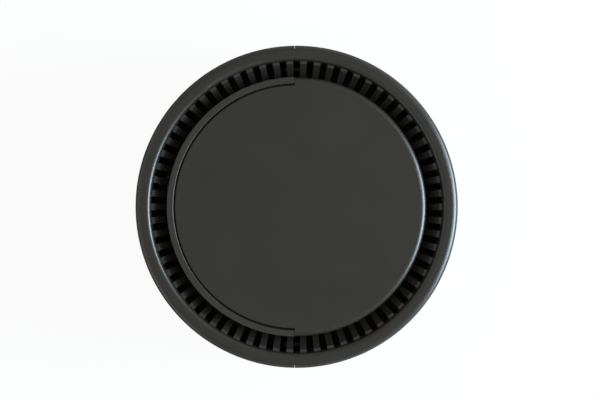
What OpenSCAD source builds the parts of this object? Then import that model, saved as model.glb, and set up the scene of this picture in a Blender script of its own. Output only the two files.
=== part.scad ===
// Round portable air filter. Two half shells stand on one base plate. The right half draws out to the right
// with its grille, the cover disc, the filter tray and the ring cartridge. A centrifugal fan under the
// electronics bay draws air through the wall slots and the cartridge, and blows it out of the top vent.
// The origin is on the table under the housing's axis. +Z is up and +X is the way the drawer opens.

/* [Housing] */
// Outside diameter of the housing
housing_d = 96; // [90:1:120]
// Thickness of the side wall
wall_t = 2.4; // [1.8:0.1:3.2]
// Distance of the parting plane to the left of the axis
seam_offset = 0.6; // [0:0.1:0.8]
// Open gap between the two half shells
seam_gap = 0.1; // [0.05:0.05:0.5]
// Width of the bevel along the parting edges of the rim
seam_bevel_w = 0.06; // [0.04:0.02:0.3]
// How far the left half's tongue reaches behind the right half
lap_l = 1; // [0.6:0.1:2]
// Depth of that tongue below the outside
lap_drop = 0.8; // [0.7:0.05:1]
// Width of the flat rim round the top
rim_w = 4.55; // [3.6:0.05:6]
// Height of the rim's section
rim_h = 4; // [3:0.1:5]
// Radius of the rim's outer edge
rim_outer_r = 2; // [0.5:0.1:2.3]
// Radius of the rim's inner edge
rim_inner_r = 1.3; // [0.4:0.1:1.6]
// Radius at the foot of the side wall
wall_foot_r = 1; // [0.3:0.1:1.6]
// Height of the snap beads under the grilles
bead_h = 1; // [0.6:0.1:1.6]
// How far the snap beads stand out of the wall
bead_w = 0.9; // [0.5:0.1:1.4]
// Angle that a snap bead covers
bead_angle = 14; // [6:1:24]

/* [Outlet grille] */
// Width of the ring-shaped vent
vent_w = 4.9; // [4:0.1:6.5]
// Number of slots in the vent
vent_slots = 66; // [40:2:80]
// Width of a vent slot at its outer end
vent_slot_w = 2.1; // [1:0.05:2.4]
// Depth of the ribs' outer ends below the top face
vent_depth = 2.6; // [2.2:0.1:6.5]
// Height of the ribs at their outer ends
rib_t = 2; // [1.2:0.1:3]
// Height of the ribs at the disc
rib_foot_t = 3.8; // [2:0.1:5]
// Thickness of the slotted wall at the outside of the vent
comb_t = 0.9; // [0.8:0.1:1.6]
// Depth of the slotted wall's top below the top face
comb_drop = 1.2; // [1:0.1:3]
// Thickness of the wall at the inside of the vent
vent_ring_t = 1.3; // [1:0.1:2]

/* [Cover disc] */
// Thickness of the cover disc
cover_t = 2.2; // [1.8:0.1:3.2]
// Radius of the disc's open edge
cover_edge_r = 1.6; // [0.3:0.1:1.8]
// Radius of the tongue's edge
tongue_edge_r = 0.3; // [0.1:0.05:0.6]
// Width of the half-ring lip round the tongue
lip_w = 1.95; // [1.4:0.05:3]
// Radius of the lip's edges
lip_edge_r = 0.25; // [0.2:0.05:0.7]
// Width of the groove between the lip and the tongue
groove_w = 0.5; // [0.35:0.05:0.8]
// Width of the shelf inside the lip
shelf_w = 2.25; // [1.8:0.05:3]
// Thickness of the shelf under the disc
shelf_t = 2.3; // [1.6:0.1:3]

/* [Base] */
// Height of the feet below the base plate
foot_h = 2; // [1:0.1:4]
// Diameter of a foot
foot_d = 11; // [7:0.5:14]
// Depth that a foot sits in the base plate
foot_recess = 0.6; // [0.3:0.1:1.2]
// Diameter of the circle that the feet stand on
foot_circle_d = 66; // [50:1:68]
// Thickness of the base plate
base_t = 3; // [2.2:0.1:4]
// Height of the two rails on the base plate
rail_h = 1.2; // [0.8:0.1:1.6]
// Width of a rail
rail_w = 2; // [1.2:0.1:3]
// Distance between the rails
rail_pitch = 32; // [24:1:40]
// Length of a rail
rail_l = 58; // [40:1:64]

/* [Intake] */
// Number of slots round the side wall
intake_slots = 66; // [40:2:80]
// Width of an intake slot
intake_slot_w = 2; // [1.2:0.1:2.4]
// Distance of the slots' ends from the cartridge caps
intake_margin = 0.8; // [0.3:0.1:1.5]

/* [Filter drawer] */
// Thickness of the tray
tray_t = 2.7; // [2.2:0.1:4]
// Diameter of the screw posts on the walls
post_d = 5; // [4.4:0.1:6]
// Height of the tray's screw posts
tray_post_h = 10; // [7:0.5:14]
// Height of the ring that centres the cartridge
spigot_h = 1.2; // [0.8:0.1:2]
// Thickness of that ring
spigot_t = 1.6; // [1:0.1:2.5]
// Height of the cartridge over both caps
cartridge_h = 16; // [12:0.5:24]
// Diameter of the cartridge's open core
core_d = 50; // [46:1:54]
// Thickness of a cartridge cap
cap_t = 1.5; // [1:0.1:2.5]
// Thickness of the caps' outer lips
cap_lip_t = 0.8; // [0.6:0.1:1.4]
// Height of the caps' outer lips
cap_lip_h = 1.4; // [0.8:0.1:2.4]
// Thickness of the outer mesh
mesh_t = 0.5; // [0.3:0.1:1]
// Thickness of the carbon sleeve
carbon_t = 2; // [1:0.1:3.5]
// Number of pleats
pleats = 60; // [40:2:80]
// Depth of the paper at a fold, along the radius
fold_t = 2.4; // [1.6:0.1:3.2]
// Height of the foam seal
seal_h = 2; // [1:0.1:3]
// Width of the foam seal
seal_w = 5; // [3:0.1:8]

/* [Fan] */
// Thickness of the fan deck
deck_t = 2; // [1.6:0.1:3]
// Diameter of the fan inlet
inlet_d = 42; // [38:1:46]
// Height of the inlet ring over the deck
inlet_lip_h = 0.6; // [0.3:0.1:1]
// Width of the inlet ring
inlet_lip_t = 2.2; // [1.4:0.1:3]
// Radius of the inlet's lower edge
inlet_edge_r = 1.6; // [0.5:0.1:1.9]
// Diameter of the deck's posts
deck_post_d = 5.5; // [4.4:0.1:7]
// Gap between the inlet ring and the impeller
fan_gap = 0.6; // [0.4:0.1:1.5]
// Height of the blades
blade_h = 9.4; // [7:0.2:14]
// Number of blades
blades = 13; // [9:1:19]
// Thickness of a blade
blade_t = 1.2; // [0.8:0.1:1.8]
// Length of a blade along the radius
blade_l = 8.4; // [6:0.2:10]
// Angle that a blade sweeps back
blade_sweep = 22; // [0:1:35]
// Thickness of the impeller's back plate
back_t = 1.2; // [0.8:0.1:2]
// Height of the ring that ties the blade ends
shroud_t = 0.8; // [0.5:0.1:1.4]
// Width of the ring that ties the blade ends
shroud_w = 2.2; // [1:0.1:4]
// Gap between the impeller and the deck's posts
tip_gap = 1.6; // [1:0.1:3]
// Number of slots in the fan guard
guard_slots = 40; // [24:2:48]
// Width of a slot in the fan guard
guard_slot_w = 3.4; // [2:0.1:3.8]
// Height of the fan guard's end rings
guard_ring_h = 1.6; // [1:0.1:3]

/* [Motor] */
// Diameter of the shaft
shaft_d = 3; // [2:0.1:4]
// Running clearance of the shaft in the bush, on the radius
shaft_play = 0.03; // [0.02:0.01:0.06]
// Wall of the bearing bush
bush_t = 1.5; // [1:0.1:2]
// Wall of the bearing tube
tube_t = 1.4; // [1:0.1:2]
// Width of the stator from the tube to its pole faces
stator_w = 7.5; // [6:0.1:9]
// Height of the stator core
stator_h = 5; // [3.5:0.1:6]
// Number of stator poles
poles = 6; // [3:1:8]
// Width of a stator pole
pole_w = 2.6; // [1.6:0.1:3]
// Thickness of the winding on each side of a pole
winding_t = 1; // [0.6:0.1:1.1]
// Air gap between the poles and the magnet ring
air_gap = 0.4; // [0.3:0.05:0.8]
// Thickness of the magnet ring
ring_magnet_t = 1.5; // [1:0.1:2.5]
// Wall of the impeller's cup
cup_t = 1.2; // [0.8:0.1:2]
// Thickness of the cup's closed end
nose_t = 1.5; // [1:0.1:2.5]
// Gap between the back plate and the bay floor
motor_gap = 1.6; // [1.4:0.1:3]
// Thickness of the shaft clip
clip_t = 0.5; // [0.3:0.1:0.8]
// Thickness of the motor board
motor_board_t = 0.8; // [0.5:0.1:1]
// Width of the motor board's ring
motor_board_w = 4; // [2:0.1:6]

/* [Electronics bay] */
// Thickness of the bay floor
bay_floor_t = 2; // [1.6:0.1:3]
// Height from the bay floor to the cover disc
bay_h = 6.3; // [6:0.1:10]
// Thickness of the bay wall
bay_wall_t = 1.6; // [1.2:0.1:2.4]
// Thickness of the bay lid
bay_lid_t = 0.9; // [0.6:0.1:1.2]
// Thickness of the bay lid's skirt
bay_skirt_t = 1.2; // [0.8:0.1:1.8]
// Length of the battery
battery_l = 44; // [36:1:46]
// Width of the battery
battery_w = 32; // [24:1:34]
// Thickness of the battery
battery_t = 4; // [3:0.1:4.2]
// Corner radius of the battery
battery_r = 2; // [1:0.1:3]
// Thickness of the pad under the battery
pad_t = 0.5; // [0.3:0.1:0.8]
// Diameter of a battery lead
lead_d = 1.2; // [0.8:0.1:1.4]

/* [Control board] */
// Width of the control board
board_w = 28; // [26:1:30]
// Height of the control board
board_h = 11.5; // [11:0.1:12]
// Thickness of the control board
board_t = 1.2; // [0.8:0.1:1.6]
// Height of the board's lower edge over the fan deck
board_lift = 0.6; // [0.3:0.1:0.8]
// Height of the charging socket over the board's lower edge
socket_lift = 3; // [2.6:0.1:3.2]
// Width of the charging socket
socket_w = 8.94; // [8:0.02:9.5]
// Height of the charging socket
socket_h = 3.26; // [2.8:0.02:3.6]
// Wall of the charging socket
socket_t = 0.3; // [0.2:0.05:0.4]
// Depth of the socket's mouth below the housing's outside
socket_recess = 0.8; // [0.6:0.1:1.5]
// Height of the button's axis over the socket's axis
button_lift = 5.4; // [5.2:0.1:5.8]
// Diameter of the power button
button_d = 5.6; // [4.6:0.1:6]
// Width of the collar that keeps the button in the wall
button_collar_w = 0.8; // [0.5:0.1:1]
// Thickness of that collar
button_collar_t = 0.8; // [0.5:0.1:1.4]
// Depth of the button's face below the housing's outside
button_recess = 0.3; // [0.2:0.05:0.8]
// Travel of the button
button_travel = 0.6; // [0.3:0.05:1]
// Side of the push switch
switch_w = 4.4; // [4:0.1:4.8]
// Height of the push switch on the board
switch_h = 2.4; // [2:0.1:3]
// Diameter of the switch's stem
stem_d = 2.4; // [1.8:0.1:2.8]
// Distance of the status light from the button's axis
light_pitch = 7; // [6.4:0.1:8]
// Diameter of the light pipe
pipe_d = 1.8; // [1.2:0.1:2.2]
// Height of the status light on the board
light_h = 0.8; // [0.5:0.1:1.2]
// Distance of the board screws from the middle of the board
board_screw_x = 11.6; // [10.8:0.1:12]
// Distance of the battery plug from the middle of the board
plug_pitch = 7; // [6.2:0.1:7.4]
// Length of the battery plug
plug_l = 3; // [2:0.1:4]
// Width of the battery plug
plug_w = 5; // [4:0.1:5.4]
// Height of the battery plug
plug_h = 2.6; // [2:0.1:3]
// Width of the flat flex
flex_w = 6; // [4:0.1:6.4]
// Thickness of the flat flex
flex_t = 0.3; // [0.2:0.05:0.5]
// Side of the processor and of the coil
chip_w = 5.6; // [4:0.1:5.8]
// Thickness of the processor
chip_t = 1; // [0.6:0.1:1.4]
// Thickness of the coil
coil_t = 2; // [1:0.1:2.4]
// Distance of the processor and the coil from the middle of the board
chip_pitch = 7; // [6.4:0.1:7.4]

/* [Fasteners] */
// Diameter of the housing screws
screw_d = 1.8; // [1.4:0.1:2]
// Head diameter of the housing screws
screw_head_d = 3.2; // [2.6:0.1:3.4]
// Length of the housing screws
screw_l = 7; // [6:0.5:8]
// Diameter of the small screws
small_screw_d = 1.4; // [1:0.1:1.6]
// Head diameter of the small screws
small_head_d = 2.4; // [2:0.1:2.8]
// Length of the small screws
small_screw_l = 3.6; // [3.2:0.1:3.8]
// Diameter of the magnets that hold the halves together
magnet_d = 5; // [4:0.5:6]
// Thickness of those magnets
magnet_t = 2; // [1:0.1:3]
// Wall of the bosses round the magnets
magnet_wall = 1.1; // [0.8:0.1:1.6]

/* [Clearances] */
// Clearance between the drawer and what stays
slide_gap = 0.3; // [0.3:0.05:0.6]
// Clearance between the cartridge and the wall posts
drawer_gap = 0.6; // [0.4:0.05:1]
// Clearance between fixed pieces that fit round each other
fit_gap = 0.1; // [0.05:0.05:0.2]
// Clearance round a screw
screw_play = 0.05; // [0.03:0.01:0.1]
// Clearance round the button and the switch's stem
button_play = 0.1; // [0.06:0.02:0.16]
// Depth that a boss is sunk in the wall that carries it
sink = 0.3; // [0.2:0.05:0.5]

/* [Hidden] */
$fn = 96;
cut = 1;
blade_steps = 6;
function slot_near(a) = -90 + round((a + 90) * intake_slots / 360) * 360 / intake_slots;
post_angles = [for (a = [112, 157, 203, 248]) slot_near(a)];
tray_post_angles = [for (a = [-62, 3, 62]) slot_near(a)];
deck_post_angles = [45, 135, 225, 315];
foot_angles = [45, 135, 225, 315];
bead_angles = [-60, 0, 60];
left_turn = 180;

// Radii from the outside in
housing_r = housing_d / 2;
shell_in_r = housing_r - wall_t;
plate_r = shell_in_r - slide_gap;
rim_in_r = housing_r - rim_w;
vent_in_r = rim_in_r - vent_w;
lip_in_r = vent_in_r - lip_w;
tongue_r = lip_in_r - groove_w;
shelf_in_r = lip_in_r - shelf_w;
comb_out_r = rim_in_r - fit_gap;
comb_in_r = comb_out_r - comb_t;
ring_in_r = vent_in_r - vent_ring_t;
bay_r = ring_in_r - 2 * fit_gap;
bay_in_r = bay_r - bay_wall_t;
skirt_r = min(bay_in_r, shelf_in_r) - slide_gap;
post_r = shell_in_r + sink - post_d / 2;
cartridge_r = shell_in_r + sink - post_d - drawer_gap;
deck_post_r = bay_in_r - deck_post_d / 2;
impeller_r = deck_post_r - deck_post_d / 2 - tip_gap;
core_r = core_d / 2;
mesh_r = cartridge_r - cap_lip_t - fit_gap;
paper_r = mesh_r - mesh_t - fit_gap;
paper_in_r = core_r + carbon_t + fit_gap;
inlet_r = inlet_d / 2;
cover_screw_r = (shelf_in_r + lip_in_r) / 2;

// Radii of the motor from the shaft out
shaft_r = shaft_d / 2;
bush_in_r = shaft_r + shaft_play;
bush_r = bush_in_r + bush_t;
tube_in_r = bush_r + screw_play;
tube_r = tube_in_r + tube_t;
stator_in_r = tube_r + screw_play;
stator_r = stator_in_r + stator_w;
ring_magnet_in_r = stator_r + air_gap;
ring_magnet_r = ring_magnet_in_r + ring_magnet_t;
cup_in_r = ring_magnet_r + screw_play;
cup_r = cup_in_r + cup_t;
clip_r = bush_r;
pocket_r = clip_r + slide_gap;

// Heights from the table up
base_z = foot_h;
base_top = base_z + base_t;
tray_z = base_top + slide_gap;
tray_top = tray_z + tray_t;
cartridge_top = tray_top + cartridge_h;
seal_top = cartridge_top + seal_h;
deck_z = seal_top + slide_gap;
deck_top = deck_z + deck_t;
fan_z = deck_top + inlet_lip_h + fan_gap;
blade_top = fan_z + blade_h;
back_top = blade_top + back_t;
bay_z = back_top + motor_gap;
bay_top = bay_z + bay_floor_t;
cover_z = bay_top + bay_h;
top_z = cover_z + cover_t;
rim_z = top_z - rim_h;
rib_top = top_z - vent_depth;
rib_z = rib_top - rib_t;
rib_foot_z = bay_z + slide_gap;
rib_foot_top = rib_foot_z + rib_foot_t;
lap_z = deck_top;
fixed_shelf_top = cover_z - slide_gap;
fixed_shelf_z = fixed_shelf_top - shelf_t;
drawn_shelf_z = cover_z - shelf_t;
bay_wall_top = min(fixed_shelf_z, drawn_shelf_z - slide_gap);
lid_top = cover_z - slide_gap;
lid_z = lid_top - bay_lid_t;
magnet_z = (deck_top + bay_z) / 2;
media_z = tray_top + cap_t;
media_top = cartridge_top - cap_t;

// Heights inside the motor
pocket_z = bay_top - clip_t - 3 * slide_gap;
clip_z = pocket_z + slide_gap;
tube_z = fan_z + nose_t + slide_gap;
bush_top = pocket_z;
stator_z = (fan_z + nose_t + back_top - stator_h) / 2;
shaft_top = clip_z + clip_t + slide_gap;

// Places of the parting plane and of the pieces in the left wall
seam_left = -seam_offset - seam_gap / 2;
seam_right = -seam_offset + seam_gap / 2;
magnet_boss_r = magnet_d / 2 + magnet_wall;
magnet_boss_l = magnet_t + fit_gap + magnet_wall;
magnet_y = shell_in_r + sink - magnet_boss_r;
board_z = deck_top + board_lift;
socket_z = board_z + socket_lift;
button_z = socket_z + button_lift;
button_r = button_d / 2;
collar_r = button_r + button_collar_w;
collar_x = -sqrt(pow(shell_in_r, 2) - pow(collar_r, 2)) + slide_gap;
collar_in_x = collar_x + button_collar_t;
switch_x = collar_in_x + button_travel + slide_gap;
board_x = switch_x + switch_h;
board_in_x = board_x + board_t;
stem_l = button_travel + slide_gap + switch_h / 4;
pipe_x = -sqrt(pow(housing_r, 2) - pow(light_pitch + pipe_d, 2));
lead_hole_x = sqrt(pow((impeller_r + deck_post_r) / 2, 2) - pow(plug_pitch, 2));
lead_y = lead_d / 2 + fit_gap;
lead_z = bay_top + pad_t + battery_t / 2;
plug_z = bay_z - board_h / 3;
boss_x = -sqrt(pow(shell_in_r, 2) - pow(board_screw_x - post_d / 2, 2)) - sink;
flex_in_r = tube_r + fit_gap + motor_board_w;
flex_end_x = board_in_x + chip_t;

// A ring on the axis
module ring(inner_r, outer_r, height) {
  rotate_extrude()
    translate([inner_r, 0])
      square([outer_r - inner_r, height]);
}

// What a fillet takes off an outline's upper right corner
module corner(r) {
  difference() {
    translate([-r, -r])
      square(r + cut);
    translate([-r, -r])
      circle(r);
  }
}

// Copies at a radius, each turned to its angle
module around(angles, r) {
  for (a = angles)
    rotate(a)
      translate([r, 0, 0])
        children();
}

// Keeps what is on one side of the parting plane: -1 left, 1 right
module half(side) {
  intersection() {
    children();
    translate([side < 0 ? seam_left - housing_d : seam_right, -housing_d, -cut])
      cube([housing_d, 2 * housing_d, top_z + 2 * cut]);
  }
}

// A countersunk screw with its head's face at z = 0, pointing down
module screw(d, head_d, length) {
  head_h = (head_d - d) / 2;
  slot = head_d / 6;
  difference() {
    union() {
      translate([0, 0, -length])
        cylinder(d = d, h = length - head_h / 2);
      translate([0, 0, -head_h])
        cylinder(d1 = d, d2 = head_d, h = head_h);
    }
    for (turn = [0, 90])
      rotate(turn)
        translate([-head_d / 3, -slot / 2, -head_h / 2])
          cube([head_d * 2 / 3, slot, head_h]);
  }
}

// The hole that a countersunk screw sits in, open above its head
module screw_hole(d, head_d, length) {
  head_h = (head_d - d) / 2;
  translate([0, 0, -length - screw_play])
    cylinder(r = d / 2 + screw_play, h = length + cut);
  translate([0, 0, -head_h])
    cylinder(d1 = d + 2 * screw_play, d2 = head_d + 2 * screw_play, h = head_h);
  cylinder(r = head_d / 2 + screw_play, h = cut);
}

// Section of the housing's wall and rim
module shell_section() {
  difference() {
    union() {
      translate([shell_in_r, base_z])
        square([wall_t, top_z - base_z]);
      translate([rim_in_r, rim_z])
        square([rim_w, rim_h]);
    }
    translate([housing_r, top_z])
      corner(rim_outer_r);
    translate([rim_in_r, top_z])
      mirror([1, 0])
        corner(rim_inner_r);
    translate([housing_r, base_z])
      mirror([0, 1])
        corner(wall_foot_r);
  }
}

// Section of the tongue that closes the parting line from behind, or of the room for it
module lap_section(grow) {
  top = top_z - lap_drop + grow;
  outer_r = housing_r - lap_drop + grow;
  inner_r = rim_in_r + lap_drop - grow;
  wall_r = shell_in_r + slide_gap - 2 * grow;
  ledge_z = rim_z + slide_gap - 2 * grow;
  difference() {
    union() {
      translate([wall_r, lap_z - grow])
        square([outer_r - wall_r, top - lap_z + grow]);
      translate([inner_r, ledge_z])
        square([outer_r - inner_r, top - ledge_z]);
    }
    translate([outer_r, top])
      corner(max(rim_outer_r - lap_drop, fit_gap) + grow);
    translate([inner_r, top])
      mirror([1, 0])
        corner(max(rim_inner_r - lap_drop, fit_gap) + grow);
  }
}

// The left half's tongue at both ends of the parting line, or the room for it in the right half
module lap(grow) {
  start_x = grow > 0 ? seam_right - cut : seam_left - sink;
  intersection() {
    rotate_extrude()
      lap_section(grow);
    translate([start_x, -housing_d, 0])
      cube([seam_right + lap_l + grow - start_x, 2 * housing_d, top_z]);
  }
}

// What the bevel takes off one half's parting edge, over the rim's flat and both its roundings
module seam_bevel(x) {
  side = seam_bevel_w * sqrt(2);
  for (end = [0, 1])
    mirror([0, end, 0]) {
      translate([x, rim_in_r + rim_inner_r, top_z])
        rotate([0, 45, 0])
          translate([-side / 2, 0, -side / 2])
            cube([side, rim_w - rim_inner_r - rim_outer_r, side]);
      along_x(x, housing_r - rim_outer_r, top_z - rim_outer_r)
        rotate_extrude(angle = 90)
          translate([rim_outer_r, 0])
            rotate(45)
              square(side, center = true);
      along_x(x, rim_in_r + rim_inner_r, top_z - rim_inner_r)
        rotate(90)
          rotate_extrude(angle = 90)
            translate([rim_inner_r, 0])
              rotate(45)
                square(side, center = true);
    }
}

// Outline of an upright slot with round ends
module slot_outline(w, h) {
  square([w, h - w], center = true);
  for (end = [-1, 1])
    translate([0, end * (h - w) / 2])
      circle(d = w);
}

// The wall slots of one half, from the parting line round to the parting line
module intake_cuts() {
  slot_h = media_top - media_z - 2 * intake_margin;
  for (i = [0 : ceil(intake_slots / 2)])
    rotate(-90 + i * 360 / intake_slots)
      translate([shell_in_r - cut, 0, (media_z + media_top) / 2])
        rotate([90, 0, 90])
          linear_extrude(wall_t + 2 * cut)
            slot_outline(intake_slot_w, slot_h);
}

// Bead that the grille snaps over
module snap_bead() {
  rotate(-bead_angle / 2)
    rotate_extrude(angle = bead_angle)
      translate([shell_in_r - bead_w, rib_z - bead_h])
        square([bead_w + sink, bead_h]);
}

// One half of the wall and rim with its slots and snap beads
module half_wall(side) {
  half(side)
    difference() {
      rotate(side < 0 ? 0 : left_turn)
        rotate_extrude()
          shell_section();
      rotate(side < 0 ? left_turn : 0)
        intake_cuts();
    }
  for (a = bead_angles)
    rotate(side < 0 ? a + left_turn : a)
      snap_bead();
}

// Boss for a magnet beside the parting plane, and the pocket in it
module magnet_bosses(side) {
  for (end = [-1, 1])
    translate([side < 0 ? seam_left - magnet_boss_l : seam_right, end * magnet_y, magnet_z])
      rotate([0, 90, 0])
        cylinder(r = magnet_boss_r, h = magnet_boss_l);
}

module magnet_pockets(side) {
  depth = magnet_t + fit_gap;
  for (end = [-1, 1])
    translate([side < 0 ? seam_left - depth : seam_right - cut, end * magnet_y, magnet_z])
      rotate([0, 90, 0])
        cylinder(r = magnet_d / 2 + screw_play, h = depth + cut);
}

module magnets(side) {
  for (end = [-1, 1])
    translate([side < 0 ? seam_left - fit_gap - magnet_t : seam_right + fit_gap, end * magnet_y, magnet_z])
      rotate([0, 90, 0])
        cylinder(d = magnet_d, h = magnet_t);
}

// Outline of the charging socket, seen from the left
module socket_outline(grow) {
  offset_h = socket_h + 2 * grow;
  square([socket_w - socket_h, offset_h], center = true);
  for (end = [-1, 1])
    translate([end * (socket_w - socket_h) / 2, 0])
      circle(d = offset_h);
}

// A prism or rod that runs along +X from x
module along_x(x, y, z) {
  translate([x, y, z])
    rotate([90, 0, 90])
      children();
}

module left_shell() {
  color("#3b3b39")
    difference() {
      union() {
        half_wall(-1);
        lap(0);
        magnet_bosses(-1);
        around(post_angles, post_r)
          translate([0, 0, base_top])
            cylinder(d = post_d, h = deck_z - base_top);
        for (end = [-1, 1])
          along_x(boss_x, end * board_screw_x, board_z + board_h / 2)
            cylinder(d = post_d, h = board_x - boss_x);
      }
      seam_bevel(seam_left);
      magnet_pockets(-1);
      around(post_angles, post_r) {
        translate([0, 0, base_z])
          mirror([0, 0, 1])
            screw_hole(screw_d, screw_head_d, screw_l);
        translate([0, 0, deck_top])
          screw_hole(screw_d, screw_head_d, screw_l);
      }
      for (end = [-1, 1])
        along_x(board_in_x, end * board_screw_x, board_z + board_h / 2)
          screw_hole(small_screw_d, small_head_d, small_screw_l);
      along_x(-housing_d, 0, socket_z)
        linear_extrude(housing_d - shell_in_r / 2)
          socket_outline(2 * fit_gap);
      along_x(-housing_d, 0, button_z)
        cylinder(r = button_r + button_play, h = housing_d - shell_in_r / 2);
      along_x(-housing_d, light_pitch, button_z)
        cylinder(r = pipe_d / 2 + screw_play, h = housing_d - shell_in_r / 2);
    }
}

module right_shell() {
  color("#3a3a38")
    difference() {
      union() {
        half_wall(1);
        magnet_bosses(1);
        around(tray_post_angles, post_r)
          translate([0, 0, tray_top])
            cylinder(d = post_d, h = tray_post_h);
      }
      lap(slide_gap);
      seam_bevel(seam_right);
      magnet_pockets(1);
      around(tray_post_angles, post_r)
        translate([0, 0, tray_z])
          mirror([0, 0, 1])
            screw_hole(screw_d, screw_head_d, screw_l);
    }
}

// Section of a grille: ribs that fall towards the disc, slotted outer wall, flange under the rim, inner wall
// and shelf
module grille_section(shelf_z, shelf_top) {
  polygon([[ring_in_r, rib_foot_z], [vent_in_r, rib_foot_z], [comb_out_r, rib_z], [comb_out_r, rib_top],
    [comb_in_r, rib_top], [vent_in_r, rib_foot_top], [ring_in_r, rib_foot_top]]);
  translate([comb_in_r, rib_z])
    square([comb_t, vent_depth + rib_t - comb_drop]);
  translate([comb_in_r, rib_z])
    square([shell_in_r - fit_gap - comb_in_r, rim_z - rib_z]);
  translate([ring_in_r, rib_foot_z])
    square([vent_ring_t, shelf_top - rib_foot_z]);
  translate([shelf_in_r, shelf_z])
    square([vent_in_r - shelf_in_r, shelf_top - shelf_z]);
}

module lip_section() {
  difference() {
    translate([lip_in_r, fixed_shelf_z])
      square([lip_w, top_z - fixed_shelf_z]);
    translate([vent_in_r, top_z])
      corner(lip_edge_r);
    translate([lip_in_r, top_z])
      mirror([1, 0])
        corner(lip_edge_r);
  }
}

// The vent slots of one half, with radial sides
module vent_cuts() {
  in_r = vent_in_r - screw_play;
  out_y = vent_slot_w / 2;
  in_y = out_y * in_r / comb_out_r;
  for (i = [0 : ceil(vent_slots / 2)])
    rotate(-90 + i * 360 / vent_slots)
      translate([0, 0, rib_foot_z - cut])
        linear_extrude(top_z - rib_foot_z + cut)
          polygon([[in_r, -in_y], [comb_out_r, -out_y], [comb_out_r, out_y], [in_r, in_y]]);
}

module left_grille() {
  color("#242423")
    half(-1)
      difference() {
        rotate_extrude() {
          grille_section(fixed_shelf_z, fixed_shelf_top);
          lip_section();
        }
        rotate(left_turn)
          vent_cuts();
      }
}

module right_grille() {
  color("#242423")
    difference() {
      half(1)
        difference() {
          rotate_extrude()
            grille_section(drawn_shelf_z, cover_z);
          vent_cuts();
        }
      around(tray_post_angles, cover_screw_r)
        translate([0, 0, drawn_shelf_z])
          mirror([0, 0, 1])
            screw_hole(small_screw_d, small_head_d, small_screw_l);
    }
}

// A round plate from the axis with a filleted upper edge
module disc(r, edge_r) {
  rotate_extrude()
    difference() {
      square([r, cover_t]);
      translate([r, cover_t])
        corner(edge_r);
    }
}

module cover_disc() {
  color("#3a3a36")
    difference() {
      union() {
        translate([0, 0, cover_z])
          disc(tongue_r, tongue_edge_r);
        half(1)
          translate([0, 0, cover_z])
            disc(vent_in_r, cover_edge_r);
      }
      around(tray_post_angles, cover_screw_r)
        translate([0, 0, drawn_shelf_z])
          mirror([0, 0, 1])
            screw_hole(small_screw_d, small_head_d, small_screw_l);
    }
}

module base_plate() {
  color("#2c2c2b")
    difference() {
      union() {
        translate([0, 0, base_z])
          cylinder(r = plate_r, h = base_t);
        for (end = [-1, 1])
          translate([-rail_l / 2, end * rail_pitch / 2 - rail_w / 2, base_top - sink])
            cube([rail_l, rail_w, rail_h + sink]);
      }
      around(foot_angles, foot_circle_d / 2)
        translate([0, 0, base_z - cut])
          cylinder(r = foot_d / 2 + fit_gap, h = foot_recess + cut);
      around(post_angles, post_r)
        translate([0, 0, base_z])
          mirror([0, 0, 1])
            screw_hole(screw_d, screw_head_d, screw_l);
    }
}

module rubber_feet() {
  edge = foot_h / 4;
  color("#1b1b1b")
    around(foot_angles, foot_circle_d / 2)
      rotate_extrude()
        difference() {
          square([foot_d / 2, foot_h + foot_recess]);
          translate([foot_d / 2, 0])
            mirror([0, 1])
              corner(edge);
        }
}

module base_screws() {
  color("#2b2b2c")
    around(post_angles, post_r)
      translate([0, 0, base_z])
        mirror([0, 0, 1])
          screw(screw_d, screw_head_d, screw_l);
}

module filter_tray() {
  groove_x = rail_l / 2 + slide_gap - housing_d;
  groove_y = rail_w / 2 + slide_gap;
  color("#2f2f2e")
    difference() {
      union() {
        translate([0, 0, tray_z])
          cylinder(r = cartridge_r, h = tray_t);
        half(1)
          translate([0, 0, tray_z])
            cylinder(r = shell_in_r - fit_gap, h = tray_t);
        translate([0, 0, tray_z])
          ring(core_r - fit_gap - spigot_t, core_r - fit_gap, tray_t + spigot_h);
      }
      for (end = [-1, 1])
        translate([groove_x, end * rail_pitch / 2 - groove_y, tray_z - cut])
          cube([housing_d, 2 * groove_y, rail_h + cut]);
      around(tray_post_angles, post_r)
        translate([0, 0, tray_z])
          mirror([0, 0, 1])
            screw_hole(screw_d, screw_head_d, screw_l);
    }
}

module tray_screws() {
  color("#2b2b2c")
    around(tray_post_angles, post_r)
      translate([0, 0, tray_z])
        mirror([0, 0, 1])
          screw(screw_d, screw_head_d, screw_l);
}

module cover_screws() {
  color("#2b2b2c")
    around(tray_post_angles, cover_screw_r)
      translate([0, 0, drawn_shelf_z])
        mirror([0, 0, 1])
          screw(small_screw_d, small_head_d, small_screw_l);
}

// A cartridge cap with its lip turned up
module cap() {
  ring(core_r, cartridge_r, cap_t);
  ring(cartridge_r - cap_lip_t, cartridge_r, cap_t + cap_lip_h);
}

module lower_cap() {
  color("#7a7c7e")
    translate([0, 0, tray_top])
      cap();
}

module upper_cap() {
  color("#7a7c7e")
    translate([0, 0, cartridge_top])
      mirror([0, 0, 1])
        cap();
}

// Outline of the folded paper, at its outer or its inner face
function pleat(outer_r, inner_r) = [for (i = [0 : 2 * pleats - 1])
  (i % 2 == 0 ? outer_r : inner_r) * [cos(i * 180 / pleats), sin(i * 180 / pleats)]];

module pleated_paper() {
  color("#e9e7df")
    translate([0, 0, media_z])
      linear_extrude(media_top - media_z)
        difference() {
          polygon(pleat(paper_r, paper_in_r + fold_t));
          polygon(pleat(paper_r - fold_t, paper_in_r));
        }
}

module carbon_sleeve() {
  color("#191919")
    translate([0, 0, media_z])
      ring(core_r, core_r + carbon_t, media_top - media_z);
}

module outer_mesh() {
  color("#4a4b4d")
    translate([0, 0, media_z])
      ring(mesh_r - mesh_t, mesh_r, media_top - media_z);
}

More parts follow.
